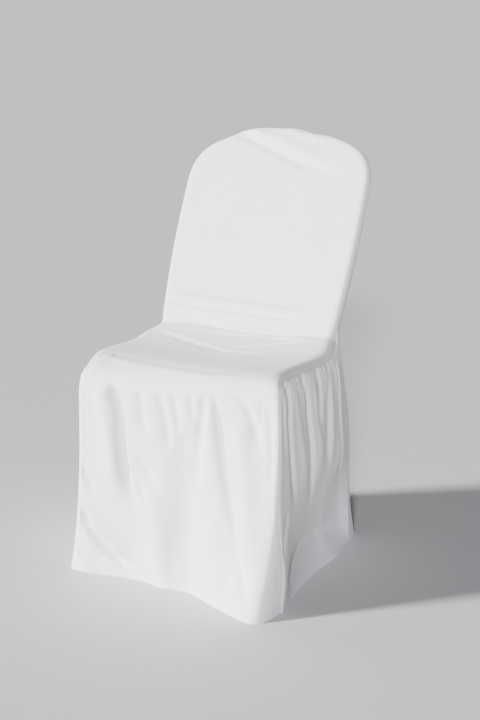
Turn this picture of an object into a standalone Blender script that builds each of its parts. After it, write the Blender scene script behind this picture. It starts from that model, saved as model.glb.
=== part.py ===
"""Fitted white cover for a stacking chair with a round-topped back.

Four cut pieces, each one sheet of cloth in the shape in which it hangs on the chair: the
main panel (inside back, seat and front skirt in one length), a gathered skirt on each
side, and the outside back. Metres, +Z up; the front faces -Y, the viewer's right is +X.

Every piece is worked out in the chair's own frame, centred on x = 0, and moved by
FRAME_SHIFT at the end, which puts the middle of the cover's box over the origin.
"""
import bpy
import numpy as np

# Cloth and sewing
CLOTH = 0.002            # thickness of the cloth
SEAM_GAP = 0.0003        # clear gap between two pieces along a seam
FRAME_SHIFT = (0.0, -0.0325, 0.0)

# Back: the seam round its edge lies on a plane that leans back, a little hollow
BACK_ZERO_Z = 0.46
BACK_FOOT_Z = 0.478      # where the back's columns end and the seat's rows begin
BACK_FOOT_Y = 0.138
BACK_LEAN = 0.459
BACK_HOLLOW = 0.053
BACK_HALF_WIDTH = 0.205
BACK_SPREAD = 0.11
BACK_TAPER = -0.224
SHOULDER_Z = 0.762       # above this the sides stop spreading and the round top begins
EDGE_ROLL = 0.013        # radius of the rounded edge, inside face to seam

# Round top of the back as the cover shows it, left shoulder to right: x and z
ROUND_TOP = (
    (-0.2178, 0.765), (-0.2150, 0.787), (-0.2070, 0.808), (-0.1945, 0.8255),
    (-0.1680, 0.844), (-0.1320, 0.859), (-0.0950, 0.8735), (-0.0590, 0.8785),
    (-0.0190, 0.8785), (0.0300, 0.877), (0.0710, 0.8675), (0.1090, 0.8625),
    (0.1420, 0.853), (0.1680, 0.8425), (0.1950, 0.8235), (0.2100, 0.802),
    (0.2160, 0.780), (0.2178, 0.757),
)

# Main panel below the back, by step: y and z of its face in the middle, its half width
# on the left and on the right, where its seam lies from the face (back and up), and how
# much higher the right side lies than the middle, the left as much lower
MAIN_SECTIONS = (
    (1, 0.1240, 0.4630, 0.2060, 0.2060, 0.0150, -0.0075, 0.0),
    (2, 0.1080, 0.4560, 0.2120, 0.2120, 0.0100, -0.0125, 0.0),
    (3, 0.0850, 0.4480, 0.2230, 0.2185, 0.0020, -0.0140, 0.0),
    (4, 0.0450, 0.4390, 0.2250, 0.2205, 0.0, -0.0125, 0.0),
    (5, 0.0000, 0.4375, 0.2235, 0.2195, 0.0, -0.0120, 0.0),
    (6, -0.0450, 0.4385, 0.2215, 0.2185, 0.0, -0.0120, 0.0),
    (7, -0.0900, 0.4400, 0.2190, 0.2180, 0.0, -0.0120, 0.0),
    (8, -0.1250, 0.4395, 0.2120, 0.2185, 0.0, -0.0115, 0.001),
    (9, -0.1550, 0.4350, 0.2055, 0.2205, 0.0020, -0.0105, 0.004),
    (10, -0.1800, 0.4220, 0.2015, 0.2240, 0.0040, -0.0070, 0.007),
    (11, -0.1935, 0.4010, 0.2035, 0.2290, 0.0055, -0.0030, 0.005),
    (12, -0.1970, 0.3740, 0.2050, 0.2325, 0.0050, 0.0, 0.002),
    (13, -0.1985, 0.3400, 0.2045, 0.2345, 0.0045, 0.0, 0.0),
    (14, -0.2010, 0.2850, 0.2030, 0.2365, 0.0050, 0.0, 0.0),
    (15, -0.2050, 0.2100, 0.2025, 0.2405, 0.0060, 0.0, 0.0),
    (16, -0.2095, 0.1200, 0.2050, 0.2480, 0.0060, 0.0, 0.0),
    (17, -0.2130, 0.0500, 0.2095, 0.2515, 0.0045, 0.0, 0.0),
    (18, -0.2150, 0.0000, 0.2140, 0.2505, 0.0, 0.0, 0.0),
)
CORNER_STEP = 10.5       # the seam turns down the front corner here
FALL_STEP = 12           # from here down the cloth hangs free of the seat's front edge
SEAT_ROLL = 0.024        # radius of the seat's rounded side edges
SKIRT_ROLL = 0.010
SEAT_HOLLOWS = ((0.0, -0.010, 0.130, 0.085, -0.006),)    # x, y, sizes and height

# How far the front hem stands forward of the straight skirt: x and distance
FRONT_FLARE = (
    (-0.214, 0.001), (-0.183, 0.003), (-0.151, -0.003), (-0.111, -0.008),
    (-0.074, -0.011), (-0.038, -0.008), (-0.008, 0.001), (0.023, -0.003),
    (0.056, -0.003), (0.086, 0.012), (0.116, 0.027), (0.159, 0.0465),
    (0.192, 0.0600), (0.229, 0.0640), (0.2350, 0.0590), (0.2405, 0.0490),
    (0.2455, 0.031), (0.2505, -0.001),
)
FLARE_TOP_Z = 0.34
FLARE_POWER = 1.8

# Outside back below the seat, by height: y of its middle line, its half width, y of its
# seam, and how far it stands out at once, just past the seam
REAR_SECTIONS = (
    (0.4300, 0.2110, 0.2085, 0.1520, 0.030),
    (0.4000, 0.2130, 0.2100, 0.1650, 0.024),
    (0.3600, 0.2180, 0.2115, 0.1800, 0.018),
    (0.3000, 0.2270, 0.2130, 0.1990, 0.014),
    (0.2200, 0.2380, 0.2145, 0.2130, 0.012),
    (0.1400, 0.2450, 0.2140, 0.2170, 0.012),
    (0.0700, 0.2530, 0.2140, 0.2300, 0.012),
    (0.0000, 0.2640, 0.2170, 0.2500, 0.012),
)
POCKET_DEPTH_TOP = 0.018     # seam to outside face at the round top
POCKET_DEPTH_FOOT = 0.037    # and at the foot of the back
POCKET_ROLL = 0.026
POCKET_BELLY = 0.030         # how much further out the middle hangs at the foot
BELLY_CLEAR = 0.110
REAR_HEM_WAVE = ((-0.16, 0.04, 0.010), (-0.05, 0.05, -0.009), (0.06, 0.05, 0.012),
                 (0.15, 0.03, -0.006))       # middle, width and how far out

# Hems of the two side skirts on the floor, by share of the way from the front corner to
# the rear corner: x and y
RIGHT_HEM = (
    (0.00, 0.2505, -0.2140), (0.06, 0.2465, -0.1880), (0.17, 0.2365, -0.1380),
    (0.25, 0.2320, -0.1000), (0.36, 0.2285, -0.0480), (0.48, 0.2285, 0.0040),
    (0.59, 0.2310, 0.0540), (0.68, 0.2345, 0.0950), (0.77, 0.2300, 0.1360),
    (0.87, 0.2230, 0.1850), (0.94, 0.2210, 0.2180), (1.00, 0.2170, 0.2500),
)
LEFT_HEM = (
    (0.00, -0.2140, -0.2160), (0.04, -0.2200, -0.2060), (0.10, -0.2260, -0.1760),
    (0.20, -0.2330, -0.1240), (0.32, -0.2420, -0.0660), (0.43, -0.2510, -0.0140),
    (0.52, -0.2490, 0.0300), (0.62, -0.2390, 0.0760), (0.72, -0.2370, 0.1220),
    (0.82, -0.2340, 0.1680), (0.92, -0.2240, 0.2140), (1.00, -0.2170, 0.2500),
)
SIDE_LIP = 0.0035        # how far a side skirt stands out at once, just past its seams
SIDE_ROLL = 0.012        # within this distance
SIDE_SWELL = 0.0060      # and how far it swells out beyond that
SIDE_SWELL_FRONT = 0.060     # it has come out fully this far from each of them
SIDE_SWELL_TOP = 0.050
SIDE_SWELL_REAR = 0.050
FOLD_CLEAR = 0.015       # folds fade out this far from a seam
SEAT_CLEAR = 0.060       # and the seat's hollow this far
HEM_CLEAR = 0.040        # and hollows this far above the hem
FRONT_OUT = (0.0, -1.0, 0.3)

# Broad hollows and swells of the side skirts: middle y and z, size along y and z, and
# how far out
RIGHT_HOLLOWS = (
    (-0.020, 0.270, 0.090, 0.070, 0.006),
    (0.060, 0.150, 0.120, 0.060, -0.006),
)
LEFT_HOLLOWS = (
    (0.020, 0.280, 0.100, 0.070, 0.006),
)

# Foot of the side skirts: the cloth is drawn in just above the floor, so its hem spreads
# out like a shelf: y and how far in
RIGHT_FOOT = (
    (-0.195, 0.0), (-0.130, 0.009), (-0.060, 0.018), (0.020, 0.026), (0.080, 0.029),
    (0.125, 0.025), (0.165, 0.015), (0.200, 0.0),
)
LEFT_FOOT = (
    (-0.195, 0.0), (-0.150, 0.011), (-0.060, 0.024), (0.040, 0.032), (0.120, 0.028), (0.195, 0.0),
)
FOOT_TOP = 0.050         # height where it is drawn in most
FOOT_RISE = 0.180        # and how far above that it comes back out

# Folds: each row is one end (a0, b0), the other end (a1, b1), how far its middle bows
# aside, its half width at both ends, and how far out it goes, negative for a groove
BACK_FOLDS = (   # x and z on the inside back
    (-0.125, 0.868, 0.150, 0.785, -0.006, 0.009, 0.013, -0.0045),
    (-0.080, 0.872, 0.120, 0.812, -0.004, 0.010, 0.012, 0.0025),
    (0.000, 0.866, 0.060, 0.858, 0.0, 0.008, 0.008, 0.0020),
    (-0.205, 0.492, 0.175, 0.475, -0.003, 0.010, 0.010, -0.0040),
)
FRONT_FOLDS = (  # x and z on the front skirt
    (-0.129, 0.395, -0.072, 0.120, 0.004, 0.010, 0.016, -0.0115),
    (-0.155, 0.385, -0.112, 0.100, 0.0, 0.018, 0.026, 0.0060),
    (-0.064, 0.385, -0.045, 0.250, 0.0, 0.011, 0.013, -0.0045),
    (-0.024, 0.388, 0.002, 0.240, 0.0, 0.011, 0.013, -0.0060),
    (0.006, 0.388, 0.020, 0.290, 0.0, 0.010, 0.011, -0.0030),
    (0.078, 0.392, 0.066, 0.150, 0.0, 0.011, 0.024, -0.0070),
    (0.104, 0.392, 0.182, -0.030, 0.006, 0.011, 0.018, -0.0120),
    (0.150, 0.360, 0.205, 0.020, 0.0, 0.022, 0.026, 0.0065),
    (0.035, 0.330, 0.060, 0.010, 0.0, 0.030, 0.040, -0.0090),
    (-0.035, 0.200, -0.020, 0.010, 0.0, 0.026, 0.036, 0.0065),
    (0.140, 0.412, 0.200, 0.290, 0.0, 0.009, 0.013, -0.0065),
    (0.240, 0.125, 0.180, 0.005, 0.0, 0.011, 0.013, -0.0075),
    (-0.215, 0.150, -0.060, 0.008, 0.010, 0.010, 0.011, -0.0090),
    (-0.180, 0.110, -0.080, 0.020, 0.0, 0.020, 0.020, 0.0035),
    (-0.200, 0.225, -0.160, 0.160, 0.0, 0.010, 0.010, -0.0040),
)
RIGHT_FOLDS = (  # y and z on the right side skirt
    (-0.164, 0.435, -0.100, 0.150, 0.003, 0.008, 0.012, -0.0070),
    (-0.130, 0.430, -0.060, 0.170, 0.002, 0.011, 0.016, 0.0035),
    (-0.078, 0.440, -0.002, 0.130, 0.003, 0.008, 0.013, -0.0085),
    (-0.038, 0.440, 0.012, 0.180, 0.0, 0.010, 0.014, 0.0035),
    (0.006, 0.440, 0.034, 0.250, 0.0, 0.009, 0.012, -0.0055),
    (0.040, 0.440, 0.064, 0.200, 0.0, 0.012, 0.015, 0.0040),
    (0.070, 0.440, 0.100, 0.120, 0.0, 0.010, 0.013, -0.0060),
    (0.100, 0.435, 0.140, 0.150, 0.0, 0.010, 0.013, 0.0045),
    (0.112, 0.440, 0.180, 0.110, 0.0, 0.009, 0.013, -0.0085),
    (-0.090, 0.180, -0.180, 0.060, 0.0, 0.012, 0.014, -0.0060),
)
LEFT_FOLDS = (   # y and z on the left side skirt
    (-0.150, 0.435, -0.120, 0.160, 0.0, 0.009, 0.012, -0.0065),
    (-0.112, 0.440, -0.085, 0.200, 0.0, 0.011, 0.014, 0.0035),
    (-0.070, 0.440, -0.040, 0.130, 0.0, 0.009, 0.013, -0.0080),
    (-0.020, 0.440, 0.000, 0.200, 0.0, 0.011, 0.015, 0.0040),
    (0.018, 0.440, 0.045, 0.140, 0.0, 0.009, 0.013, -0.0070),
    (0.062, 0.440, 0.090, 0.200, 0.0, 0.011, 0.014, 0.0040),
    (0.095, 0.440, 0.135, 0.120, 0.0, 0.009, 0.013, -0.0070),
)
REAR_FOLDS = (   # x and z on the outside back
    (-0.120, 0.470, -0.135, 0.020, 0.0, 0.020, 0.028, -0.0080),
    (-0.030, 0.520, -0.010, 0.020, 0.006, 0.018, 0.030, 0.0070),
    (0.050, 0.460, 0.070, 0.040, 0.0, 0.018, 0.026, -0.0080),
    (0.140, 0.480, 0.150, 0.020, 0.0, 0.020, 0.028, 0.0060),
    (-0.170, 0.830, 0.020, 0.700, -0.010, 0.014, 0.018, -0.0040),
)

# Colours and finish
COVER_WHITE = (0.80, 0.79, 0.77, 1.0)
COVER_ROUGHNESS = 0.75

# How finely the panels are divided
EDGE_STEPS = (0.0, 0.0012, 0.0045, 0.0090, 0.0140)   # from a seam inwards
COLUMNS_EACH_SIDE = 12
ROWS_ON_BACK = 8
ROWS_ON_SEAT = 15
ROWS_ON_SKIRT = 11
SIDE_SPLIT = 2           # side-skirt columns for each of the seat's rows


def smooth_curve(table, at):
    """Smooth curve through a table's rows: a cubic between each two rows, its slope at a
    row set by both neighbours. The first column is the parameter, the rest the values."""
    table = np.asarray(table, float)
    knots, values = table[:, 0], table[:, 1:]
    slopes = np.gradient(values, knots, axis=0)
    at = np.clip(np.asarray(at, float), knots[0], knots[-1])
    low = np.clip(np.searchsorted(knots, at, side="right") - 1, 0, len(knots) - 2)
    span = (knots[low + 1] - knots[low])[..., None]
    t = (at - knots[low])[..., None] / span
    return ((1 + 2 * t) * (1 - t) ** 2 * values[low] + t * (1 - t) ** 2 * span * slopes[low]
            + t ** 2 * (3 - 2 * t) * values[low + 1] + t ** 2 * (t - 1) * span * slopes[low + 1])


def smooth_step(t):
    """Rises from 0 to 1 with level ends."""
    t = np.clip(t, 0.0, 1.0)
    return t * t * (3 - 2 * t)


def quarter_round(distance, radius):
    """Height of a quarter ellipse over the distance from its edge: 0 at the edge, 1 from
    one radius inwards."""
    return np.sqrt(1 - (1 - np.clip(distance / radius, 0.0, 1.0)) ** 2)


def folds(table, a, b):
    """Sum of soft grooves and ridges. Each is a bell across its line, which bows aside as a
    parabola, and fades in and out along it."""
    total = np.zeros(np.shape(a))
    for a0, b0, a1, b1, bow, width0, width1, out in table:
        length = np.hypot(a1 - a0, b1 - b0)
        da, db = (a1 - a0) / length, (b1 - b0) / length
        along = ((a - a0) * da + (b - b0) * db) / length
        across = (a - a0) * db - (b - b0) * da
        inside = np.clip(along, 0.0, 1.0)
        width = width0 + (width1 - width0) * inside
        bell = np.exp(-((across - 4 * bow * inside * (1 - inside)) / width) ** 2)
        total += out * bell * smooth_step(along / 0.15) * smooth_step((1 - along) / 0.35)
    return total


def hollows(table, a, b):
    """Sum of broad bells, each as wide along a and b as its row says."""
    total = np.zeros(np.shape(a))
    for a0, b0, size_a, size_b, out in table:
        total += out * np.exp(-((a - a0) / size_a) ** 2 - ((b - b0) / size_b) ** 2)
    return total


def back_seam_y(z):
    rise = z - BACK_ZERO_Z
    return BACK_FOOT_Y + BACK_LEAN * rise + BACK_HOLLOW * rise ** 2


def back_half_width(z):
    rise = np.minimum(z, SHOULDER_Z) - BACK_ZERO_Z
    return BACK_HALF_WIDTH + BACK_SPREAD * rise + BACK_TAPER * rise ** 2


def back_outward():
    """The inside back's outward direction: forwards and a little up."""
    size = np.hypot(1.0, BACK_LEAN)
    return np.array([0.0, -1.0 / size, BACK_LEAN / size])


def main_sections():
    """The main panel's table with the foot of the back as its first row."""
    out = back_outward() * EDGE_ROLL
    half = back_half_width(BACK_FOOT_Z)
    foot = (0, back_seam_y(BACK_FOOT_Z) + out[1], BACK_FOOT_Z + out[2], half, half,
            -out[1], -out[2], 0.0)
    return (foot,) + MAIN_SECTIONS


def meeting_height():
    """Height of the seams at the foot of the pocket, where main, side and back meet."""
    section = smooth_curve(main_sections(), CORNER_STEP / ROWS_ON_SEAT)
    return section[1] + section[5]


def rear_sections():
    """The outside back's table, from the floor up, with the meeting point as its top row."""
    section = smooth_curve(main_sections(), CORNER_STEP / ROWS_ON_SEAT)
    seam_y = section[0] + section[4]
    face_y = seam_y + POCKET_DEPTH_FOOT + POCKET_BELLY
    meeting = (meeting_height(), face_y, section[3], seam_y, POCKET_DEPTH_FOOT)
    return REAR_SECTIONS[::-1] + (meeting,)


def round_top_line():
    """The round top as a fine line, its parameter the length along the table's points."""
    points = np.asarray(ROUND_TOP)
    length = np.r_[0, np.cumsum(np.hypot(*np.diff(points, axis=0).T))]
    return smooth_curve(np.c_[length, points], np.linspace(0, length[-1], 500))


def across_columns():
    """Column places from -1 at the left seam to 1 at the right, close together at both."""
    edge = 1 - np.array(EDGE_STEPS) / back_half_width(SHOULDER_Z)
    inner = np.linspace(edge[-1], 0, COLUMNS_EACH_SIDE)[1:]
    half = np.r_[edge, inner]
    return np.r_[-half, half[-2::-1]]


def back_columns():
    """x, z and distance from the edge for the back's grid: its columns run straight down
    from the round top to the foot, with rows close together below the top."""
    line = round_top_line()
    u = across_columns()
    top = np.interp(u * back_half_width(SHOULDER_Z), line[:, 0], line[:, 1])
    edge = top[None, :] - np.array(EDGE_STEPS)[:, None]
    share = np.linspace(0, 1, ROWS_ON_BACK + 1)[1:, None]
    z = np.vstack([edge, edge[-1] + (BACK_FOOT_Z - edge[-1]) * share])
    x = u[None, :] * back_half_width(z)
    gap = np.hypot(x[..., None] - line[:, 0], z[..., None] - line[:, 1]).min(axis=-1)
    side = (1 - np.abs(u))[None, :] * back_half_width(z)
    distance = np.where(z <= SHOULDER_Z, np.minimum(gap, side), gap)
    distance[0] = 0.0
    distance[:, [0, -1]] = 0.0
    return x, z, distance


def grid_normals(points, out):
    """Unit normals of a grid of points, from its two directions, on the side of out."""
    normal = np.cross(np.gradient(points, axis=0), np.gradient(points, axis=1))
    normal /= np.linalg.norm(normal, axis=-1, keepdims=True)
    return normal * np.sign(np.sum(normal * out, axis=-1).mean())


def main_panel():
    """Inside back, seat and front skirt: rows from the round top down to the front hem."""
    out = back_outward()
    x, z, distance = back_columns()
    seam = np.stack([x, back_seam_y(z), z], axis=-1)
    swell = EDGE_ROLL * quarter_round(distance, EDGE_ROLL)
    swell = swell + folds(BACK_FOLDS, x, z) * smooth_step(distance / FOLD_CLEAR)
    back = seam + out * swell[..., None]

    u = across_columns()
    seat = np.linspace(0, CORNER_STEP, ROWS_ON_SEAT + 1)[1:]
    skirt = np.linspace(CORNER_STEP, MAIN_SECTIONS[-1][0], ROWS_ON_SKIRT + 1)[1:]
    step = np.r_[seat, skirt]
    y, z, left, right, seam_back, seam_up, tilt = smooth_curve(main_sections(), step).T[..., None]
    half = np.where(u < 0, left, right)
    z = z + tilt * u
    x = u[None, :] * half
    edge = (1 - np.abs(u)) * half
    roll = np.interp(step, (0, 2, CORNER_STEP, FALL_STEP),
                     (EDGE_ROLL, SEAT_ROLL, SEAT_ROLL, SKIRT_ROLL))[:, None]
    inward = 1 - quarter_round(edge, roll)
    flare = smooth_curve(FRONT_FLARE, x)[..., 0]
    flare = flare * np.clip(1 - z / FLARE_TOP_Z, 0, 1) ** FLARE_POWER
    dish = hollows(SEAT_HOLLOWS, x, np.broadcast_to(y, x.shape)) * smooth_step(edge / SEAT_CLEAR)
    below = np.stack([x, y + seam_back * inward - flare, z + seam_up * inward + dish], axis=-1)
    fold = folds(FRONT_FOLDS, x, below[..., 2]) * smooth_step(edge / FOLD_CLEAR)
    fold = fold * smooth_step((step[:, None] - CORNER_STEP) / (FALL_STEP - CORNER_STEP))
    below = below + grid_normals(below, FRONT_OUT) * fold[..., None]
    below[-1, :, 2] = 0.0
    return np.concatenate([back, below])


def rear_panel():
    """Outside back: from the same round top down the pocket, then free to the rear hem."""
    x, z, distance = back_columns()
    share = smooth_step((z - BACK_FOOT_Z) / (SHOULDER_Z - BACK_FOOT_Z))
    level = (1 - share)[..., None]
    out = -back_outward() * (1 - level) + np.array([0.0, 1.0, 0.0]) * level
    depth = POCKET_DEPTH_FOOT + (POCKET_DEPTH_TOP - POCKET_DEPTH_FOOT) * share
    swell = depth * quarter_round(distance, POCKET_ROLL)
    swell = swell + POCKET_BELLY * (1 - share) ** 2 * smooth_step(distance / BELLY_CLEAR)
    swell = swell + folds(REAR_FOLDS, x, z) * smooth_step(distance / FOLD_CLEAR)
    pocket = np.stack([x, back_seam_y(z), z], axis=-1) + out * swell[..., None]

    u = across_columns()
    height = np.linspace(meeting_height(), 0, ROWS_ON_SKIRT + 1)
    face_y, half, seam_y, edge_depth = smooth_curve(rear_sections(), height).T[..., None]
    z = np.broadcast_to(height[:, None], (len(height), len(u)))
    x = u[None, :] * half
    edge = (1 - np.abs(u)) * half
    wave = sum(size * np.exp(-((x - middle) / width) ** 2) for middle, width, size in REAR_HEM_WAVE)
    wave = wave * (1 - z / height[0]) ** 2 + folds(REAR_FOLDS, x, z)
    y = (seam_y + edge_depth * quarter_round(edge, POCKET_ROLL) + wave * smooth_step(edge / FOLD_CLEAR)
         + (face_y - seam_y - edge_depth) * smooth_step(edge / BELLY_CLEAR))
    return np.concatenate([pocket, np.stack([x, y, z], axis=-1)])


def split_line(points):
    """The same line with each stretch cut into SIDE_SPLIT equal ones."""
    at = np.arange((len(points) - 1) * SIDE_SPLIT + 1) / SIDE_SPLIT
    low = np.minimum(at.astype(int), len(points) - 2)
    share = (at - low)[:, None]
    return points[low] * (1 - share) + points[low + 1] * share


def side_skirt(main, rear, side, hem_table, foot_table, fold_table, hollow_table):
    """Skirt between its three seams and its hem: a Coons patch (the sum of both ways of
    running straight between facing edges, less the patch of its corners), swollen outwards
    just past the seams and then folded. Rows run down from the seat, columns back."""
    column = -1 if side > 0 else 0
    meeting = len(EDGE_STEPS) + ROWS_ON_BACK
    corner = meeting + ROWS_ON_SEAT - 1
    top = split_line(main[corner:meeting - 1:-1, column])
    front = main[corner:, column]
    back = rear[meeting:, column]
    share = np.r_[0, np.cumsum(np.linalg.norm(np.diff(top, axis=0), axis=1))]
    share = share / share[-1]
    hem = np.c_[smooth_curve(hem_table, share), np.zeros(len(share))]
    hem += (front[-1] - hem[0]) * (1 - share)[:, None] + (back[-1] - hem[-1]) * share[:, None]

    down = np.linspace(0, 1, len(front))[:, None, None]
    along = share[None, :, None]
    corners = ((1 - along) * ((1 - down) * top[0] + down * hem[0])
               + along * ((1 - down) * top[-1] + down * hem[-1]))
    base = ((1 - down) * top + down * hem
            + (1 - along) * front[:, None] + along * back[:, None] - corners)

    width = np.linalg.norm(np.diff(base, axis=1), axis=-1)
    from_front = np.c_[np.zeros(len(base)), np.cumsum(width, axis=1)]
    from_back = from_front[:, -1:] - from_front
    from_top = base[0, :, 2] - base[..., 2]
    y, z = base[..., 1], base[..., 2]
    swell = SIDE_SWELL * (1 - down[..., 0] ** 2) * smooth_step(from_front / SIDE_SWELL_FRONT)
    swell = swell * smooth_step(from_top / SIDE_SWELL_TOP) * smooth_step(from_back / SIDE_SWELL_REAR)
    turn = quarter_round(from_front, SIDE_ROLL) * quarter_round(from_top, SIDE_ROLL)
    swell = swell + SIDE_LIP * turn * quarter_round(from_back, SIDE_ROLL)
    clear = (smooth_step(from_front / FOLD_CLEAR) * smooth_step(from_back / FOLD_CLEAR)
             * smooth_step(from_top / FOLD_CLEAR))
    drawn_in = smooth_curve(foot_table, y)[..., 0] * np.where(
        z < FOOT_TOP, np.sin(0.5 * np.pi * z / FOOT_TOP), 1 - smooth_step((z - FOOT_TOP) / FOOT_RISE))
    bends = folds(fold_table, y, z) + hollows(hollow_table, y, z) * smooth_step(z / HEM_CLEAR)
    skirt = base + grid_normals(base, (side, 0, 0)) * (swell + bends * clear)[..., None]
    skirt[..., 0] -= side * drawn_in
    skirt[-1, :, 2] = 0.0
    return skirt


def triangles(rows, columns):
    """Two triangles for each cell of a grid, cut from the outer upper corner inwards, so
    that none lies flat along a seam."""
    row, column = np.mgrid[0:rows - 1, 0:columns - 1]
    a = row * columns + column
    b, c, d = a + 1, a + columns + 1, a + columns
    left = (column < columns // 2)[..., None]
    first = np.where(left, np.stack([a, d, c], axis=-1), np.stack([a, d, b], axis=-1))
    second = np.where(left, np.stack([a, c, b], axis=-1), np.stack([b, d, c], axis=-1))
    return np.concatenate([first.reshape(-1, 3), second.reshape(-1, 3)])


def vertex_normals(points, out):
    """Unit normals at a grid's points, from the triangles round each, on the side of out."""
    flat = points.reshape(-1, 3)
    faces = triangles(*points.shape[:2])
    a, b, c = flat[faces].transpose(1, 0, 2)
    normal = np.zeros_like(flat)
    for corner in faces.T:
        np.add.at(normal, corner, np.cross(b - a, c - a))
    normal /= np.linalg.norm(normal, axis=1, keepdims=True)
    return (normal * np.sign(np.sum(normal * out, axis=1).mean())).reshape(points.shape)


def seam_sides(points, normals):
    """For each seam of a grid (left, right, top): its cells' indices, and the unit
    direction from the seam into the cloth, square to the seam and to the normal."""
    for edge, inner, line in ((np.s_[:, 0], np.s_[:, 1], 0), (np.s_[:, -1], np.s_[:, -2], 0),
                              (np.s_[0, :], np.s_[1, :], 1)):
        run = np.gradient(points[edge], axis=0)
        into = points[inner] - points[edge]
        for direction in (normals[edge], run):
            direction = direction / np.linalg.norm(direction, axis=-1, keepdims=True)
            into = into - direction * np.sum(into * direction, axis=-1, keepdims=True)
        yield edge, into / np.linalg.norm(into, axis=-1, keepdims=True)


def join_seams(panels, outs):
    """Gives all the cloth that meets at a seam one normal there, then draws each panel back
    from its seams by half the gap, so the cut edges face each other squarely."""
    normals = {name: vertex_normals(points, outs[name]) for name, points in panels.items()}
    shared = {}
    for name, points in panels.items():
        for edge, _ in seam_sides(points, normals[name]):
            for place, normal in zip(points[edge], normals[name][edge]):
                key = tuple(np.round(place, 6))
                shared.setdefault(key, {})[name] = normal.copy()
    drawn = {}
    for name, points in panels.items():
        for edge, _ in seam_sides(points, normals[name]):
            for index, place in zip(np.ndindex(points[edge].shape[:1]), points[edge]):
                total = sum(shared[tuple(np.round(place, 6))].values())
                normals[name][edge][index] = total / np.linalg.norm(total)
        if name.startswith("side"):
            even_out(normals[name][0])
        shift = np.zeros_like(points)
        for edge, into in seam_sides(points, normals[name]):
            if name.startswith("side") and edge == np.s_[0, :]:
                even_out(into)
            shift[edge] += into
        size = np.linalg.norm(shift, axis=-1, keepdims=True)
        drawn[name] = points + shift / np.maximum(size, 1.0) * SEAM_GAP / 2
        drawn[name][-1, :, 2] = 0.0
        normals[name][-1, :, 2] = 0.0
        normals[name][-1] /= np.linalg.norm(normals[name][-1], axis=-1, keepdims=True)
    return drawn, normals


def even_out(values):
    """Sets each value between two shared ones to their mean."""
    for part in range(1, SIDE_SPLIT):
        share = part / SIDE_SPLIT
        values[part::SIDE_SPLIT] = (values[:-1:SIDE_SPLIT] * (1 - share)
                                    + values[SIDE_SPLIT::SIDE_SPLIT] * share)


def cloth_solid(name, points, normals, material):
    """Closed solid of one panel: its outer face, its inner face CLOTH further in, and the
    cut edge between them all the way round."""
    rows, columns = points.shape[:2]
    outer = points + np.array(FRAME_SHIFT)
    inner = outer - normals * CLOTH
    count = rows * columns
    index = np.arange(count).reshape(rows, columns)
    face = triangles(rows, columns)
    a, b, c = outer.reshape(-1, 3)[face].transpose(1, 0, 2)
    facing = np.sum(np.cross(b - a, c - a) * normals.reshape(-1, 3)[face[:, 0]])
    if facing < 0:
        face = face[:, ::-1]
    rim = np.r_[index[:-1, 0], index[-1, :-1], index[:0:-1, -1], index[0, :0:-1]]
    after = np.roll(rim, -1)
    edge = np.concatenate([np.c_[rim, rim + count, after], np.c_[after, rim + count, after + count]])
    if facing < 0:
        edge = edge[:, ::-1]
    mesh = bpy.data.meshes.new(name)
    mesh.from_pydata(np.concatenate([outer.reshape(-1, 3), inner.reshape(-1, 3)]).tolist(), [],
                     np.concatenate([face, face[:, ::-1] + count, edge]).tolist())
    mesh.materials.append(material)
    mesh.shade_smooth()
    mesh.set_sharp_from_angle(angle=1.0)
    obj = bpy.data.objects.new(name, mesh)
    bpy.context.collection.objects.link(obj)


def cover_cloth(name):
    """White woven polyester: matt, a little warm."""
    material = bpy.data.materials.new(name)
    material.use_nodes = True
    shader = material.node_tree.nodes["Principled BSDF"]
    shader.inputs["Base Color"].default_value = COVER_WHITE
    shader.inputs["Roughness"].default_value = COVER_ROUGHNESS
    shader.inputs["Metallic"].default_value = 0.0
    return material


for old in list(bpy.data.objects):
    bpy.data.objects.remove(old, do_unlink=True)

main = main_panel()
rear = rear_panel()
pieces = {
    "main_panel": main,
    "back_panel": rear,
    "side_skirt_right": side_skirt(main, rear, 1, RIGHT_HEM, RIGHT_FOOT, RIGHT_FOLDS, RIGHT_HOLLOWS),
    "side_skirt_left": side_skirt(main, rear, -1, LEFT_HEM, LEFT_FOOT, LEFT_FOLDS, LEFT_HOLLOWS),
}
facing_out = {
    "main_panel": (0, -1, 0.3),
    "back_panel": (0, 1, 0),
    "side_skirt_right": (1, 0, 0),
    "side_skirt_left": (-1, 0, 0),
}
pieces, piece_normals = join_seams(pieces, facing_out)
for piece, points in pieces.items():
    cloth_solid(piece, points, piece_normals[piece], cover_cloth(piece + "_cloth"))
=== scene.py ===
"""Looks of a fitted white chair cover: four panels of cloth, their seams, hems and light."""

import bpy
import numpy as np
from mathutils import Matrix


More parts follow.
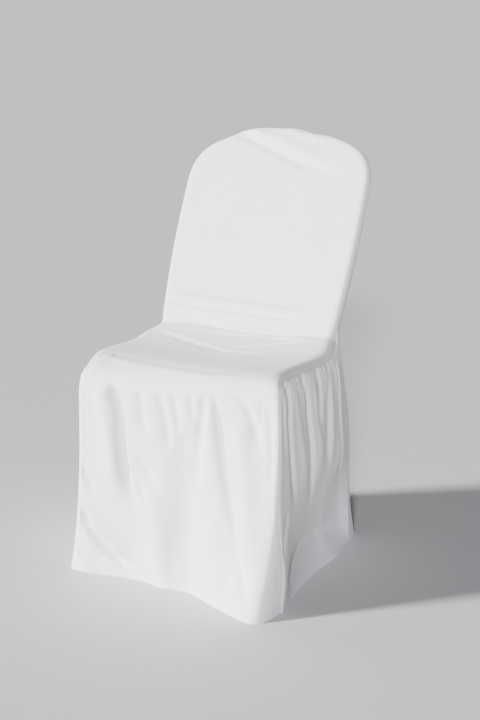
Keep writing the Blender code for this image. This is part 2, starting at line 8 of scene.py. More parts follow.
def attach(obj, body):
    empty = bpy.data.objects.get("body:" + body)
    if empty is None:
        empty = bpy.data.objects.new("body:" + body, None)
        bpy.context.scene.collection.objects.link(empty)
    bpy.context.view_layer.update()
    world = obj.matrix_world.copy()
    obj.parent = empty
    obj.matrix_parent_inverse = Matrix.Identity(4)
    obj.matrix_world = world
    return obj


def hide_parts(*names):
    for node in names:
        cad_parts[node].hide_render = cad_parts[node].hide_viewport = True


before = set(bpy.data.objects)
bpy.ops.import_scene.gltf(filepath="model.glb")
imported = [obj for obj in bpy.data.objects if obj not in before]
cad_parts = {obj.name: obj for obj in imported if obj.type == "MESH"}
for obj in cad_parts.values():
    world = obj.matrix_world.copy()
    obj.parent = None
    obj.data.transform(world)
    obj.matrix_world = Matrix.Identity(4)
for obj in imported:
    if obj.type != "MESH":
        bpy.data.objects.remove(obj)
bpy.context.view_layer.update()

# Main panel: one length of woven white polyester that makes the inside back with its
# round top, the seat and the front skirt. It is stretched over the back and the seat and
# sewn to the other three panels; the front skirt hangs free to a turned and stitched hem.
BACK_ZERO_Z = 0.46       # height that the back's lean and width are reckoned from
BACK_FOOT_Z = 0.478      # height of its foot, where the seat begins
BACK_FOOT_Y = 0.138      # y of its seam at BACK_ZERO_Z
BACK_LEAN = 0.459        # how far the seam leans back for each metre up
BACK_HOLLOW = 0.053      # and how much more for each metre squared
BACK_HALF_WIDTH = 0.205  # half width at BACK_ZERO_Z
BACK_SPREAD = 0.11       # how much it grows for each metre up
BACK_TAPER = -0.224      # and how much less for each metre squared
SHOULDER_Z = 0.762       # height where the round top begins
EDGE_ROLL = 0.013        # radius of the edge round the back

# x and z of the round top, left shoulder to right
ROUND_TOP = (
    (-0.2178, 0.765), (-0.2150, 0.787), (-0.2070, 0.808), (-0.1945, 0.8255),
    (-0.1680, 0.844), (-0.1320, 0.859), (-0.0950, 0.8735), (-0.0590, 0.8785),
    (-0.0190, 0.8785), (0.0300, 0.877), (0.0710, 0.8675), (0.1090, 0.8625),
    (0.1420, 0.853), (0.1680, 0.8425), (0.1950, 0.8235), (0.2100, 0.802),
    (0.2160, 0.780), (0.2178, 0.757),
)

# Seat and front skirt, by step: y and z of the face in the middle, half width left and
# right, where the seam lies from the face (back and up), and how much higher the right is
MAIN_SECTIONS = (
    (1, 0.1240, 0.4630, 0.2060, 0.2060, 0.0150, -0.0075, 0.0),
    (2, 0.1080, 0.4560, 0.2120, 0.2120, 0.0100, -0.0125, 0.0),
    (3, 0.0850, 0.4480, 0.2230, 0.2185, 0.0020, -0.0140, 0.0),
    (4, 0.0450, 0.4390, 0.2250, 0.2205, 0.0, -0.0125, 0.0),
    (5, 0.0000, 0.4375, 0.2235, 0.2195, 0.0, -0.0120, 0.0),
    (6, -0.0450, 0.4385, 0.2215, 0.2185, 0.0, -0.0120, 0.0),
    (7, -0.0900, 0.4400, 0.2190, 0.2180, 0.0, -0.0120, 0.0),
    (8, -0.1250, 0.4395, 0.2120, 0.2185, 0.0, -0.0115, 0.001),
    (9, -0.1550, 0.4350, 0.2055, 0.2205, 0.0020, -0.0105, 0.004),
    (10, -0.1800, 0.4220, 0.2015, 0.2240, 0.0040, -0.0070, 0.007),
    (11, -0.1935, 0.4010, 0.2035, 0.2290, 0.0055, -0.0030, 0.005),
    (12, -0.1970, 0.3740, 0.2050, 0.2325, 0.0050, 0.0, 0.002),
    (13, -0.1985, 0.3400, 0.2045, 0.2345, 0.0045, 0.0, 0.0),
    (14, -0.2010, 0.2850, 0.2030, 0.2365, 0.0050, 0.0, 0.0),
    (15, -0.2050, 0.2100, 0.2025, 0.2405, 0.0060, 0.0, 0.0),
    (16, -0.2095, 0.1200, 0.2050, 0.2480, 0.0060, 0.0, 0.0),
    (17, -0.2130, 0.0500, 0.2095, 0.2515, 0.0045, 0.0, 0.0),
    (18, -0.2150, 0.0000, 0.2140, 0.2505, 0.0, 0.0, 0.0),
)
SEAT_STEP = 2            # step from which the edge is the seat's
CORNER_STEP = 10.5       # step at the seat's front corners
FALL_STEP = 12           # step from which the skirt hangs
SEAT_ROLL = 0.024        # radius of the edge at the seat's sides
SKIRT_ROLL = 0.010       # and at the front skirt's

# x of the front hem and how far it stands forward there
FRONT_FLARE = (
    (-0.214, 0.001), (-0.183, 0.003), (-0.151, -0.003), (-0.111, -0.008),
    (-0.074, -0.011), (-0.038, -0.008), (-0.008, 0.001), (0.023, -0.003),
    (0.056, -0.003), (0.086, 0.012), (0.116, 0.027), (0.159, 0.0465),
    (0.192, 0.0600), (0.229, 0.0640), (0.2350, 0.0590), (0.2405, 0.0490),
    (0.2455, 0.031), (0.2505, -0.001),
)
FLARE_TOP_Z = 0.34       # height where the flare begins
FLARE_POWER = 1.8        # how late it opens
FOLD_CLEAR = 0.015       # distance from a seam over which folds come in
FOOT_CLEAR = 0.006       # height above the back's foot over which they come in
SEAT_CLEAR = 0.060       # distance from a seam over which the seat's hollow comes in
FRONT_OUT = (0.0, -1.0, 0.3)

# Broad hollows: middle, size along both directions, how far out
SEAT_HOLLOWS = (
    (0.0, -0.010, 0.130, 0.085, -0.006),
)

# Creases: the points each runs through, its half width at both ends, how much softer its
# second side is, and how far out it goes, negative for a groove. Back: x and z
BACK_CREASES = (
    (((-0.140, 0.868), (-0.096, 0.861), (-0.045, 0.843), (0.008, 0.823), (0.052, 0.808),
      (0.094, 0.797), (0.150, 0.785)), 0.007, 0.011, 0.4, -0.0095),
    (((-0.080, 0.872), (0.020, 0.838), (0.120, 0.812)), 0.010, 0.012, 0.0, 0.0050),
    (((-0.005, 0.850), (0.021, 0.861), (0.051, 0.866)), 0.006, 0.006, 0.0, 0.0032),
    (((0.075, 0.852), (0.090, 0.857), (0.112, 0.861)), 0.005, 0.005, 0.0, 0.0028),
    (((-0.212, 0.499), (-0.111, 0.496), (-0.030, 0.492), (0.089, 0.487), (0.185, 0.484)),
     0.0045, 0.0045, 0.0, -0.0060),
    (((-0.200, 0.511), (-0.060, 0.506), (0.110, 0.499), (0.180, 0.498)), 0.006, 0.006, 0.0, 0.0045),
)
# Seat: x and y
SEAT_CREASES = (
    (((-0.160, 0.128), (-0.086, 0.126), (-0.021, 0.119), (0.060, 0.118), (0.135, 0.119),
      (0.195, 0.120)), 0.005, 0.005, 0.0, -0.0046),
    (((-0.120, 0.110), (-0.020, 0.108), (0.110, 0.107), (0.190, 0.112)), 0.006, 0.006, 0.0, 0.0022),
    (((0.000, 0.046), (0.081, 0.077), (0.175, 0.112)), 0.006, 0.005, 0.3, -0.0036),
    (((0.095, 0.104), (0.128, 0.112), (0.160, 0.108)), 0.006, 0.006, 0.0, 0.0030),
    (((-0.206, 0.083), (-0.160, 0.077), (-0.085, 0.055), (0.010, 0.030), (0.100, 0.038),
      (0.166, 0.074)), 0.010, 0.010, 0.4, -0.0034),
    (((-0.178, -0.132), (-0.093, -0.146), (0.004, -0.158), (0.114, -0.161), (0.175, -0.146)),
     0.008, 0.008, -0.3, -0.0010),
    (((-0.178, -0.148), (-0.093, -0.162), (0.004, -0.172), (0.114, -0.174), (0.180, -0.158)),
     0.007, 0.007, 0.0, 0.0014),
    (((-0.160, -0.130), (-0.172, -0.160), (-0.184, -0.190)), 0.008, 0.009, 0.0, 0.0022),
)
# Front skirt: x and z
FRONT_CREASES = (
    (((-0.131, 0.405), (-0.113, 0.362), (-0.103, 0.324), (-0.100, 0.279), (-0.093, 0.232),
      (-0.081, 0.185), (-0.060, 0.140)), 0.007, 0.012, 0.5, -0.0159),
    (((-0.155, 0.395), (-0.135, 0.300), (-0.112, 0.150)), 0.016, 0.023, 0.0, 0.0074),
    (((-0.064, 0.390), (-0.054, 0.330), (-0.046, 0.290)), 0.008, 0.011, 0.3, -0.0050),
    (((-0.024, 0.390), (-0.005, 0.340), (0.004, 0.270)), 0.008, 0.011, 0.3, -0.0070),
    (((0.010, 0.390), (0.020, 0.343), (0.024, 0.310)), 0.007, 0.009, 0.0, -0.0046),
    (((0.049, 0.396), (0.053, 0.356), (0.055, 0.330)), 0.007, 0.009, 0.0, -0.0037),
    (((0.076, 0.398), (0.072, 0.342), (0.064, 0.270), (0.066, 0.190)), 0.008, 0.016, 0.0, -0.0074),
    (((0.099, 0.400), (0.110, 0.350), (0.119, 0.294), (0.131, 0.242), (0.147, 0.185), (0.166, 0.116),
      (0.189, 0.069), (0.212, 0.015)), 0.007, 0.012, 0.5, -0.0165),
    (((0.150, 0.360), (0.180, 0.200), (0.205, 0.060)), 0.020, 0.023, 0.0, 0.0074),
    (((0.037, 0.330), (0.040, 0.243), (0.042, 0.144), (0.045, 0.010)), 0.027, 0.036, 0.0, -0.0099),
    (((-0.035, 0.200), (-0.020, 0.010)), 0.023, 0.032, 0.0, 0.0083),
    (((0.118, 0.170), (0.130, 0.144), (0.161, 0.010)), 0.013, 0.018, 0.0, -0.0050),
    (((0.131, 0.420), (0.164, 0.388), (0.185, 0.349), (0.199, 0.300)), 0.007, 0.011, 0.3, -0.0074),
    (((-0.198, 0.132), (-0.173, 0.094), (-0.143, 0.064), (-0.111, 0.039), (-0.075, 0.012)),
     0.006, 0.008, 0.4, -0.0165),
    (((-0.180, 0.110), (-0.130, 0.070), (-0.080, 0.040)), 0.018, 0.018, 0.0, 0.0058),
    (((-0.204, 0.230), (-0.181, 0.196), (-0.160, 0.165)), 0.008, 0.009, 0.0, -0.0066),
    (((-0.068, 0.258), (-0.041, 0.225), (-0.030, 0.200)), 0.007, 0.009, 0.0, -0.0037),
    (((-0.066, 0.205), (-0.045, 0.172), (-0.020, 0.140)), 0.007, 0.010, 0.0, -0.0040),
    (((-0.206, 0.042), (-0.170, 0.034), (-0.130, 0.026)), 0.007, 0.007, 0.0, -0.0037),
    (((0.212, 0.425), (0.209, 0.402), (0.214, 0.353), (0.223, 0.294), (0.222, 0.225)),
     0.004, 0.005, 0.0, -0.0026),
    (((0.198, 0.412), (0.197, 0.372), (0.202, 0.330)), 0.004, 0.005, 0.0, -0.0019),
    (((0.222, 0.415), (0.220, 0.380), (0.225, 0.330)), 0.004, 0.004, 0.0, -0.0017),
)

CREASE_POINTS = 25       # points on a crease's smooth line
CREASE_REACH = 3.2       # half widths from the line to which it is worked out
FADE_IN = 0.15           # share of the line over which a crease comes in
FADE_IN_START = 0.15     # and how much of it is there where the line starts
FADE_OUT = 0.35          # the same at the line's end
FADE_OUT_END = 0.05

# How finely the panels are divided: distances of the first columns from a seam, then
# numbers of columns and rows
EDGE_STEPS = (0.0, 0.0006, 0.0015, 0.0030, 0.0050, 0.0075, 0.0105, 0.0140)
COLUMNS_EACH_SIDE = 58
ROWS_ON_BACK = 95
ROWS_ON_SEAT = 160
ROWS_ON_SKIRT = 104
ROUND_TOP_POINTS = 500


def smooth_curve(table, at):
    """Smooth curve through a table's rows: a cubic between each two rows, its slope at a
    row set by both neighbours. The first column is the parameter, the rest the values."""
    table = np.asarray(table, float)
    knots, values = table[:, 0], table[:, 1:]
    slopes = np.gradient(values, knots, axis=0)
    at = np.clip(np.asarray(at, float), knots[0], knots[-1])
    low = np.clip(np.searchsorted(knots, at, side="right") - 1, 0, len(knots) - 2)
    span = (knots[low + 1] - knots[low])[..., None]
    t = (at - knots[low])[..., None] / span
    return ((1 + 2 * t) * (1 - t) ** 2 * values[low] + t * (1 - t) ** 2 * span * slopes[low]
            + t ** 2 * (3 - 2 * t) * values[low + 1] + t ** 2 * (t - 1) * span * slopes[low + 1])


def smooth_step(t):
    """Rises from 0 to 1 with level ends."""
    t = np.clip(t, 0.0, 1.0)
    return t * t * (3 - 2 * t)


def quarter_round(distance, radius):
    """Height of a quarter ellipse over the distance from its edge: 0 at the edge, 1 from
    one radius inwards."""
    return np.sqrt(1 - (1 - np.clip(distance / radius, 0.0, 1.0)) ** 2)


def length_along(points):
    """Length along a line of points, from 0 at the first."""
    return np.r_[0, np.cumsum(np.linalg.norm(np.diff(points, axis=0), axis=1))]


def creases(table, a, b):
    """Sum of creases. Each is a bell of the distance from a smooth line, wider on one of
    its sides, and fades in over the first part of the line and out over the last."""
    total = np.zeros(np.shape(a))
    for points, width0, width1, softer, out in table:
        points = np.asarray(points)
        run = length_along(points)
        line = smooth_curve(np.c_[run, points], np.linspace(0, run[-1], CREASE_POINTS))
        reach = CREASE_REACH * max(width0, width1) * (1 + abs(softer))
        near = ((a > line[:, 0].min() - reach) & (a < line[:, 0].max() + reach)
                & (b > line[:, 1].min() - reach) & (b < line[:, 1].max() + reach))
        place = np.stack([a[near], b[near]], axis=-1)[:, None]
        step = np.diff(line, axis=0)
        share = np.sum((place - line[:-1]) * step, axis=-1) / np.sum(step * step, axis=-1)
        away = place - line[:-1] - np.clip(share, 0, 1)[..., None] * step
        distance = np.hypot(away[..., 0], away[..., 1])
        best = distance.argmin(axis=1)
        row = np.arange(len(best))
        along = (best + share[row, best]) / len(step)
        side = np.sign(away[row, best, 0] * step[best, 1] - away[row, best, 1] * step[best, 0])
        width = (width0 + (width1 - width0) * np.clip(along, 0, 1)) * (1 + softer * side)
        bell = np.exp(-(distance[row, best] / width) ** 2)
        start = smooth_step(along / FADE_IN + FADE_IN_START)
        end = smooth_step((1 - along) / FADE_OUT + FADE_OUT_END)
        total[near] += out * bell * start * end
    return total


def hollows(table, a, b):
    """Sum of broad bells, each as wide along a and b as its row says."""
    total = np.zeros(np.shape(a))
    for a0, b0, size_a, size_b, out in table:
        total += out * np.exp(-((a - a0) / size_a) ** 2 - ((b - b0) / size_b) ** 2)
    return total


def back_seam_y(z):
    """Depth of the seam round the back: a line that leans back, a little hollow."""
    rise = z - BACK_ZERO_Z
    return BACK_FOOT_Y + BACK_LEAN * rise + BACK_HOLLOW * rise ** 2


def back_half_width(z):
    """Half width of the back: it spreads upwards, ever less, to the shoulder."""
    rise = np.minimum(z, SHOULDER_Z) - BACK_ZERO_Z
    return BACK_HALF_WIDTH + BACK_SPREAD * rise + BACK_TAPER * rise ** 2


def back_outward():
    """The inside back's outward direction, square to its lean: forwards and a little up."""
    size = np.hypot(1.0, BACK_LEAN)
    return np.array([0.0, -1.0 / size, BACK_LEAN / size])


def main_sections():
    """The main panel's table with the foot of the back as its first row."""
    out = back_outward() * EDGE_ROLL
    half = back_half_width(BACK_FOOT_Z)
    foot = (0, back_seam_y(BACK_FOOT_Z) + out[1], BACK_FOOT_Z + out[2], half, half,
            -out[1], -out[2], 0.0)
    return (foot,) + MAIN_SECTIONS


def round_top_line():
    """The round top as a fine line, its parameter the length along the table's points."""
    points = np.asarray(ROUND_TOP)
    length = length_along(points)
    return smooth_curve(np.c_[length, points], np.linspace(0, length[-1], ROUND_TOP_POINTS))


def across_columns():
    """Column places from -1 at the left seam to 1 at the right, close together at both."""
    edge = 1 - np.array(EDGE_STEPS) / back_half_width(SHOULDER_Z)
    inner = np.linspace(edge[-1], 0, COLUMNS_EACH_SIDE)[1:]
    half = np.r_[edge, inner]
    return np.r_[-half, half[-2::-1]]


def back_columns():
    """x, z and distance from the edge for the back's grid: its columns run straight down
    from the round top to the foot, with rows close together below the top."""
    line = round_top_line()
    u = across_columns()
    top = np.interp(u * back_half_width(SHOULDER_Z), line[:, 0], line[:, 1])
    edge = top[None, :] - np.array(EDGE_STEPS)[:, None]
    share = np.linspace(0, 1, ROWS_ON_BACK + 1)[1:, None]
    z = np.vstack([edge, edge[-1] + (BACK_FOOT_Z - edge[-1]) * share])
    x = u[None, :] * back_half_width(z)
    gap = np.hypot(x[..., None] - line[:, 0], z[..., None] - line[:, 1]).min(axis=-1)
    side = (1 - np.abs(u))[None, :] * back_half_width(z)
    distance = np.where(z <= SHOULDER_Z, np.minimum(gap, side), gap)
    distance[0] = 0.0
    distance[:, [0, -1]] = 0.0
    return x, z, distance


def grid_normals(points, out):
    """Unit normals of a grid of points, on the side of out: at each point the sum over the
    cells round it of the cross product of the cell's diagonals."""
    diagonals = np.cross(points[1:, 1:] - points[:-1, :-1], points[1:, :-1] - points[:-1, 1:])
    normal = np.zeros_like(points)
    for rows in (slice(1, None), slice(None, -1)):
        for columns in (slice(1, None), slice(None, -1)):
            normal[rows, columns] += diagonals
    normal /= np.linalg.norm(normal, axis=-1, keepdims=True)
    return normal * np.sign(np.sum(normal * out, axis=-1).mean())


def main_surface():
    """Inside back, seat and front skirt, in rows from the round top down to the front hem.
    The back lies on its leaning seam line and swells out by its rolled edge. The seat and
    skirt run through their sections and drop to the seams at both sides."""
    out = back_outward()
    x, z, distance = back_columns()
    seam = np.stack([x, back_seam_y(z), z], axis=-1)
    swell = EDGE_ROLL * quarter_round(distance, EDGE_ROLL)
    clear = smooth_step(distance / FOLD_CLEAR) * smooth_step((z - BACK_FOOT_Z) / FOOT_CLEAR)
    swell = swell + creases(BACK_CREASES, x, z) * clear
    back = seam + out * swell[..., None]

    u = across_columns()
    seat = np.linspace(0, CORNER_STEP, ROWS_ON_SEAT + 1)[1:]
    skirt = np.linspace(CORNER_STEP, MAIN_SECTIONS[-1][0], ROWS_ON_SKIRT + 1)[1:]
    step = np.r_[seat, skirt]
    y, z, left, right, seam_back, seam_up, tilt = smooth_curve(main_sections(), step).T[..., None]
    half = np.where(u < 0, left, right)
    z = z + tilt * u
    x = u[None, :] * half
    edge = (1 - np.abs(u)) * half
    roll = np.interp(step, (0, SEAT_STEP, CORNER_STEP, FALL_STEP),
                     (EDGE_ROLL, SEAT_ROLL, SEAT_ROLL, SKIRT_ROLL))[:, None]
    inward = 1 - quarter_round(edge, roll)
    flare = smooth_curve(FRONT_FLARE, x)[..., 0]
    flare = flare * np.clip(1 - z / FLARE_TOP_Z, 0, 1) ** FLARE_POWER
    dish = hollows(SEAT_HOLLOWS, x, np.broadcast_to(y, x.shape)) * smooth_step(edge / SEAT_CLEAR)
    below = np.stack([x, y + seam_back * inward - flare, z + seam_up * inward + dish], axis=-1)
    on_skirt = smooth_step((step[:, None] - CORNER_STEP) / (FALL_STEP - CORNER_STEP))
    fold = (creases(FRONT_CREASES, x, below[..., 2]) * on_skirt
            + creases(SEAT_CREASES, x, below[..., 1]) * (1 - on_skirt))
    fold = fold * smooth_step(edge / FOLD_CLEAR)
    below = below + grid_normals(below, FRONT_OUT) * fold[..., None]
    below[-1, :, 2] = 0.0
    return np.concatenate([back, below])


main = main_surface()

# Outside back: the same polyester, from the round top down over the back of the pocket
# and then free to the floor behind. It is sewn to the main panel round the top and to
# both side skirts below, and ends in the same hem.
# Below the pocket, by height: y of the face in the middle, half width, y of the seams,
# and how deep the edge rolls
REAR_SECTIONS = (
    (0.4300, 0.2110, 0.2085, 0.1520, 0.030),
    (0.4000, 0.2130, 0.2100, 0.1650, 0.024),
    (0.3600, 0.2180, 0.2115, 0.1800, 0.018),
    (0.3000, 0.2270, 0.2130, 0.1990, 0.014),
    (0.2200, 0.2380, 0.2145, 0.2130, 0.012),
    (0.1400, 0.2450, 0.2140, 0.2170, 0.012),
    (0.0700, 0.2530, 0.2140, 0.2300, 0.012),
    (0.0000, 0.2640, 0.2170, 0.2500, 0.012),
)
POCKET_DEPTH_TOP = 0.018     # how far behind the seam the pocket's back stands
POCKET_DEPTH_FOOT = 0.037
POCKET_ROLL = 0.026          # radius of its edge
POCKET_BELLY = 0.030         # how much further out its foot bulges in the middle
BELLY_CLEAR = 0.110          # distance from a seam over which that bulge comes in
REAR_OUT = (0.0, 1.0, 0.0)
# Waves of the rear hem: x of the middle, width and how far out
REAR_HEM_WAVE = (
    (-0.16, 0.04, 0.010), (-0.05, 0.05, -0.009), (0.06, 0.05, 0.012), (0.15, 0.03, -0.006),
)
# Creases of the outside back: x and z
REAR_CREASES = (
    (((-0.120, 0.470), (-0.128, 0.250), (-0.135, 0.020)), 0.020, 0.028, 0.0, -0.0080),
    (((-0.030, 0.520), (-0.014, 0.270), (-0.010, 0.020)), 0.018, 0.030, 0.0, 0.0070),
    (((0.050, 0.460), (0.060, 0.250), (0.070, 0.040)), 0.018, 0.026, 0.0, -0.0080),
    (((0.140, 0.480), (0.150, 0.020)), 0.020, 0.028, 0.0, 0.0060),
    (((-0.170, 0.830), (-0.085, 0.775), (0.020, 0.700)), 0.014, 0.018, 0.0, -0.0040),
)


def meeting_height():
    """Height of the seams at the foot of the pocket, where main, side and back meet."""
    section = smooth_curve(main_sections(), CORNER_STEP / ROWS_ON_SEAT)
    return section[1] + section[5]


def rear_sections():
    """The outside back's table, from the floor up, with the meeting point as its top row."""
    section = smooth_curve(main_sections(), CORNER_STEP / ROWS_ON_SEAT)
    seam_y = section[0] + section[4]
    face_y = seam_y + POCKET_DEPTH_FOOT + POCKET_BELLY
    meeting = (meeting_height(), face_y, section[3], seam_y, POCKET_DEPTH_FOOT)
    return REAR_SECTIONS[::-1] + (meeting,)


def rear_surface():
    """Outside back, in rows from the same round top down the pocket, then free to the rear
    hem. The pocket swells out from the seam line, leaning less towards its foot; below it
    the cloth runs through its sections, with the hem's waves growing as the drop squared."""
    x, z, distance = back_columns()
    share = smooth_step((z - BACK_FOOT_Z) / (SHOULDER_Z - BACK_FOOT_Z))
    level = (1 - share)[..., None]
    out = -back_outward() * (1 - level) + np.array(REAR_OUT) * level
    depth = POCKET_DEPTH_FOOT + (POCKET_DEPTH_TOP - POCKET_DEPTH_FOOT) * share
    swell = depth * quarter_round(distance, POCKET_ROLL)
    swell = swell + POCKET_BELLY * (1 - share) ** 2 * smooth_step(distance / BELLY_CLEAR)
    swell = swell + creases(REAR_CREASES, x, z) * smooth_step(distance / FOLD_CLEAR)
    pocket = np.stack([x, back_seam_y(z), z], axis=-1) + out * swell[..., None]

    u = across_columns()
    height = np.linspace(meeting_height(), 0, ROWS_ON_SKIRT + 1)
    face_y, half, seam_y, edge_depth = smooth_curve(rear_sections(), height).T[..., None]
    z = np.repeat(height[:, None], len(u), axis=1)
    x = u[None, :] * half
    edge = (1 - np.abs(u)) * half
    wave = sum(size * np.exp(-((x - middle) / width) ** 2)
               for middle, width, size in REAR_HEM_WAVE)
    wave = wave * (1 - z / height[0]) ** 2 + creases(REAR_CREASES, x, z)
    y = (seam_y + edge_depth * quarter_round(edge, POCKET_ROLL)
         + wave * smooth_step(edge / FOLD_CLEAR)
         + (face_y - seam_y - edge_depth) * smooth_step(edge / BELLY_CLEAR))
    return np.concatenate([pocket, np.stack([x, y, z], axis=-1)])


rear = rear_surface()

# Side skirts: a gathered length of the same cloth on each side, sewn under the seat's
# edge and to the panels in front and behind. The gathers open into soft folds that fade
# half way down, and the hem flares out on the floor.
# Line of each hem on the floor: share of the way from front to rear, x and y
RIGHT_HEM = (
    (0.00, 0.2505, -0.2140), (0.06, 0.2465, -0.1880), (0.17, 0.2365, -0.1380),
    (0.25, 0.2320, -0.1000), (0.36, 0.2285, -0.0480), (0.48, 0.2285, 0.0040),
    (0.59, 0.2310, 0.0540), (0.68, 0.2345, 0.0950), (0.77, 0.2300, 0.1360),
    (0.87, 0.2230, 0.1850), (0.94, 0.2210, 0.2180), (1.00, 0.2170, 0.2500),
)
LEFT_HEM = (
    (0.00, -0.2140, -0.2160), (0.04, -0.2200, -0.2060), (0.10, -0.2260, -0.1760),
    (0.20, -0.2330, -0.1240), (0.32, -0.2420, -0.0660), (0.43, -0.2510, -0.0140),
    (0.52, -0.2490, 0.0300), (0.62, -0.2390, 0.0760), (0.72, -0.2370, 0.1220),
    (0.82, -0.2340, 0.1680), (0.92, -0.2240, 0.2140), (1.00, -0.2170, 0.2500),
)
GATHER_PITCH = 0.0115    # small gathers along the seat's side seam
GATHER_HEIGHT = 0.0014
GATHER_REACH = 0.060     # how far down they reach
GATHER_CLEAR = 0.006     # distance below the seam over which they come in
GATHER_WANDER = ((1.9, 41.0), (1.1, 97.0))   # unevenness of their pitch: size and rate by y
GATHER_UNEVEN = 0.5      # unevenness of their reach, with its rate by y and its start
GATHER_UNEVEN_RATE = 63.0
GATHER_UNEVEN_START = 1.0
SIDE_LIP = 0.0035        # how far the skirt stands out all along its three seams
SIDE_ROLL = 0.012        # and how wide that rounded lip is
SIDE_SWELL = 0.0060      # how much further it stands out, reached so far from each seam:
SIDE_SWELL_FRONT = 0.060
SIDE_SWELL_TOP = 0.050
SIDE_SWELL_REAR = 0.050
HEM_CLEAR = 0.040        # height above the hem over which the broad hollows come in
RIGHT_HOLLOWS = (
    (-0.020, 0.270, 0.090, 0.070, 0.006),
    (0.060, 0.150, 0.120, 0.060, -0.006),
)
LEFT_HOLLOWS = (
    (0.020, 0.280, 0.100, 0.070, 0.006),
)
# Foot of the skirts: the cloth is drawn in just above the floor, so that its hem spreads
# out like a shelf; y and how far in
RIGHT_FOOT = (
    (-0.195, 0.0), (-0.130, 0.009), (-0.060, 0.018), (0.020, 0.026), (0.080, 0.029),
    (0.125, 0.025), (0.165, 0.015), (0.200, 0.0),
)
LEFT_FOOT = (
    (-0.195, 0.0), (-0.150, 0.011), (-0.060, 0.024), (0.040, 0.032), (0.120, 0.028),
    (0.195, 0.0),
)
FOOT_TOP = 0.050         # height where it is drawn in most
FOOT_RISE = 0.180        # height above that over which it comes back out
# Creases of the side skirts: y and z
RIGHT_CREASES = (
    (((-0.166, 0.440), (-0.152, 0.423), (-0.146, 0.344), (-0.135, 0.264), (-0.110, 0.160)),
     0.007, 0.012, 0.3, -0.0070),
    (((-0.182, 0.400), (-0.176, 0.337), (-0.176, 0.280)), 0.007, 0.009, 0.0, -0.0030),
    (((-0.130, 0.430), (-0.060, 0.170)), 0.011, 0.016, 0.0, 0.0035),
    (((-0.076, 0.442), (-0.064, 0.420), (-0.050, 0.335), (-0.030, 0.231), (0.000, 0.130)),
     0.007, 0.013, 0.4, -0.0085),
    (((-0.038, 0.440), (0.012, 0.180)), 0.010, 0.014, 0.0, 0.0035),
    (((0.006, 0.440), (0.004, 0.400), (-0.002, 0.330), (-0.008, 0.290)),
     0.008, 0.011, 0.3, -0.0050),
    (((0.040, 0.440), (0.064, 0.200)), 0.012, 0.015, 0.0, 0.0040),
    (((0.052, 0.440), (0.042, 0.351), (0.041, 0.286), (0.048, 0.190)), 0.009, 0.013, 0.3, -0.0055),
    (((0.085, 0.440), (0.110, 0.150)), 0.010, 0.013, 0.0, 0.0045),
    (((0.090, 0.440), (0.097, 0.416), (0.106, 0.296), (0.150, 0.150)), 0.008, 0.013, 0.4, -0.0085),
    (((0.125, 0.440), (0.150, 0.330), (0.178, 0.200)), 0.008, 0.012, 0.0, -0.0040),
    (((-0.160, 0.180), (-0.190, 0.140), (-0.208, 0.095)), 0.009, 0.010, 0.0, -0.0045),
    (((-0.165, 0.036), (-0.093, 0.058), (-0.043, 0.064), (0.015, 0.062), (0.085, 0.056),
      (0.160, 0.058)), 0.011, 0.012, -0.35, -0.0085),
    (((-0.210, 0.125), (-0.242, 0.091), (-0.262, 0.050)), 0.009, 0.010, 0.0, -0.0050),
)
LEFT_CREASES = (
    (((-0.150, 0.435), (-0.120, 0.160)), 0.008, 0.012, 0.3, -0.0065),
    (((-0.112, 0.440), (-0.085, 0.200)), 0.011, 0.014, 0.0, 0.0035),
    (((-0.070, 0.440), (-0.040, 0.130)), 0.008, 0.013, 0.3, -0.0080),
    (((-0.020, 0.440), (0.000, 0.200)), 0.011, 0.015, 0.0, 0.0040),
    (((0.018, 0.440), (0.045, 0.140)), 0.008, 0.013, 0.3, -0.0070),
    (((0.062, 0.440), (0.090, 0.200)), 0.011, 0.014, 0.0, 0.0040),
    (((0.095, 0.440), (0.135, 0.120)), 0.008, 0.013, 0.3, -0.0070),
)


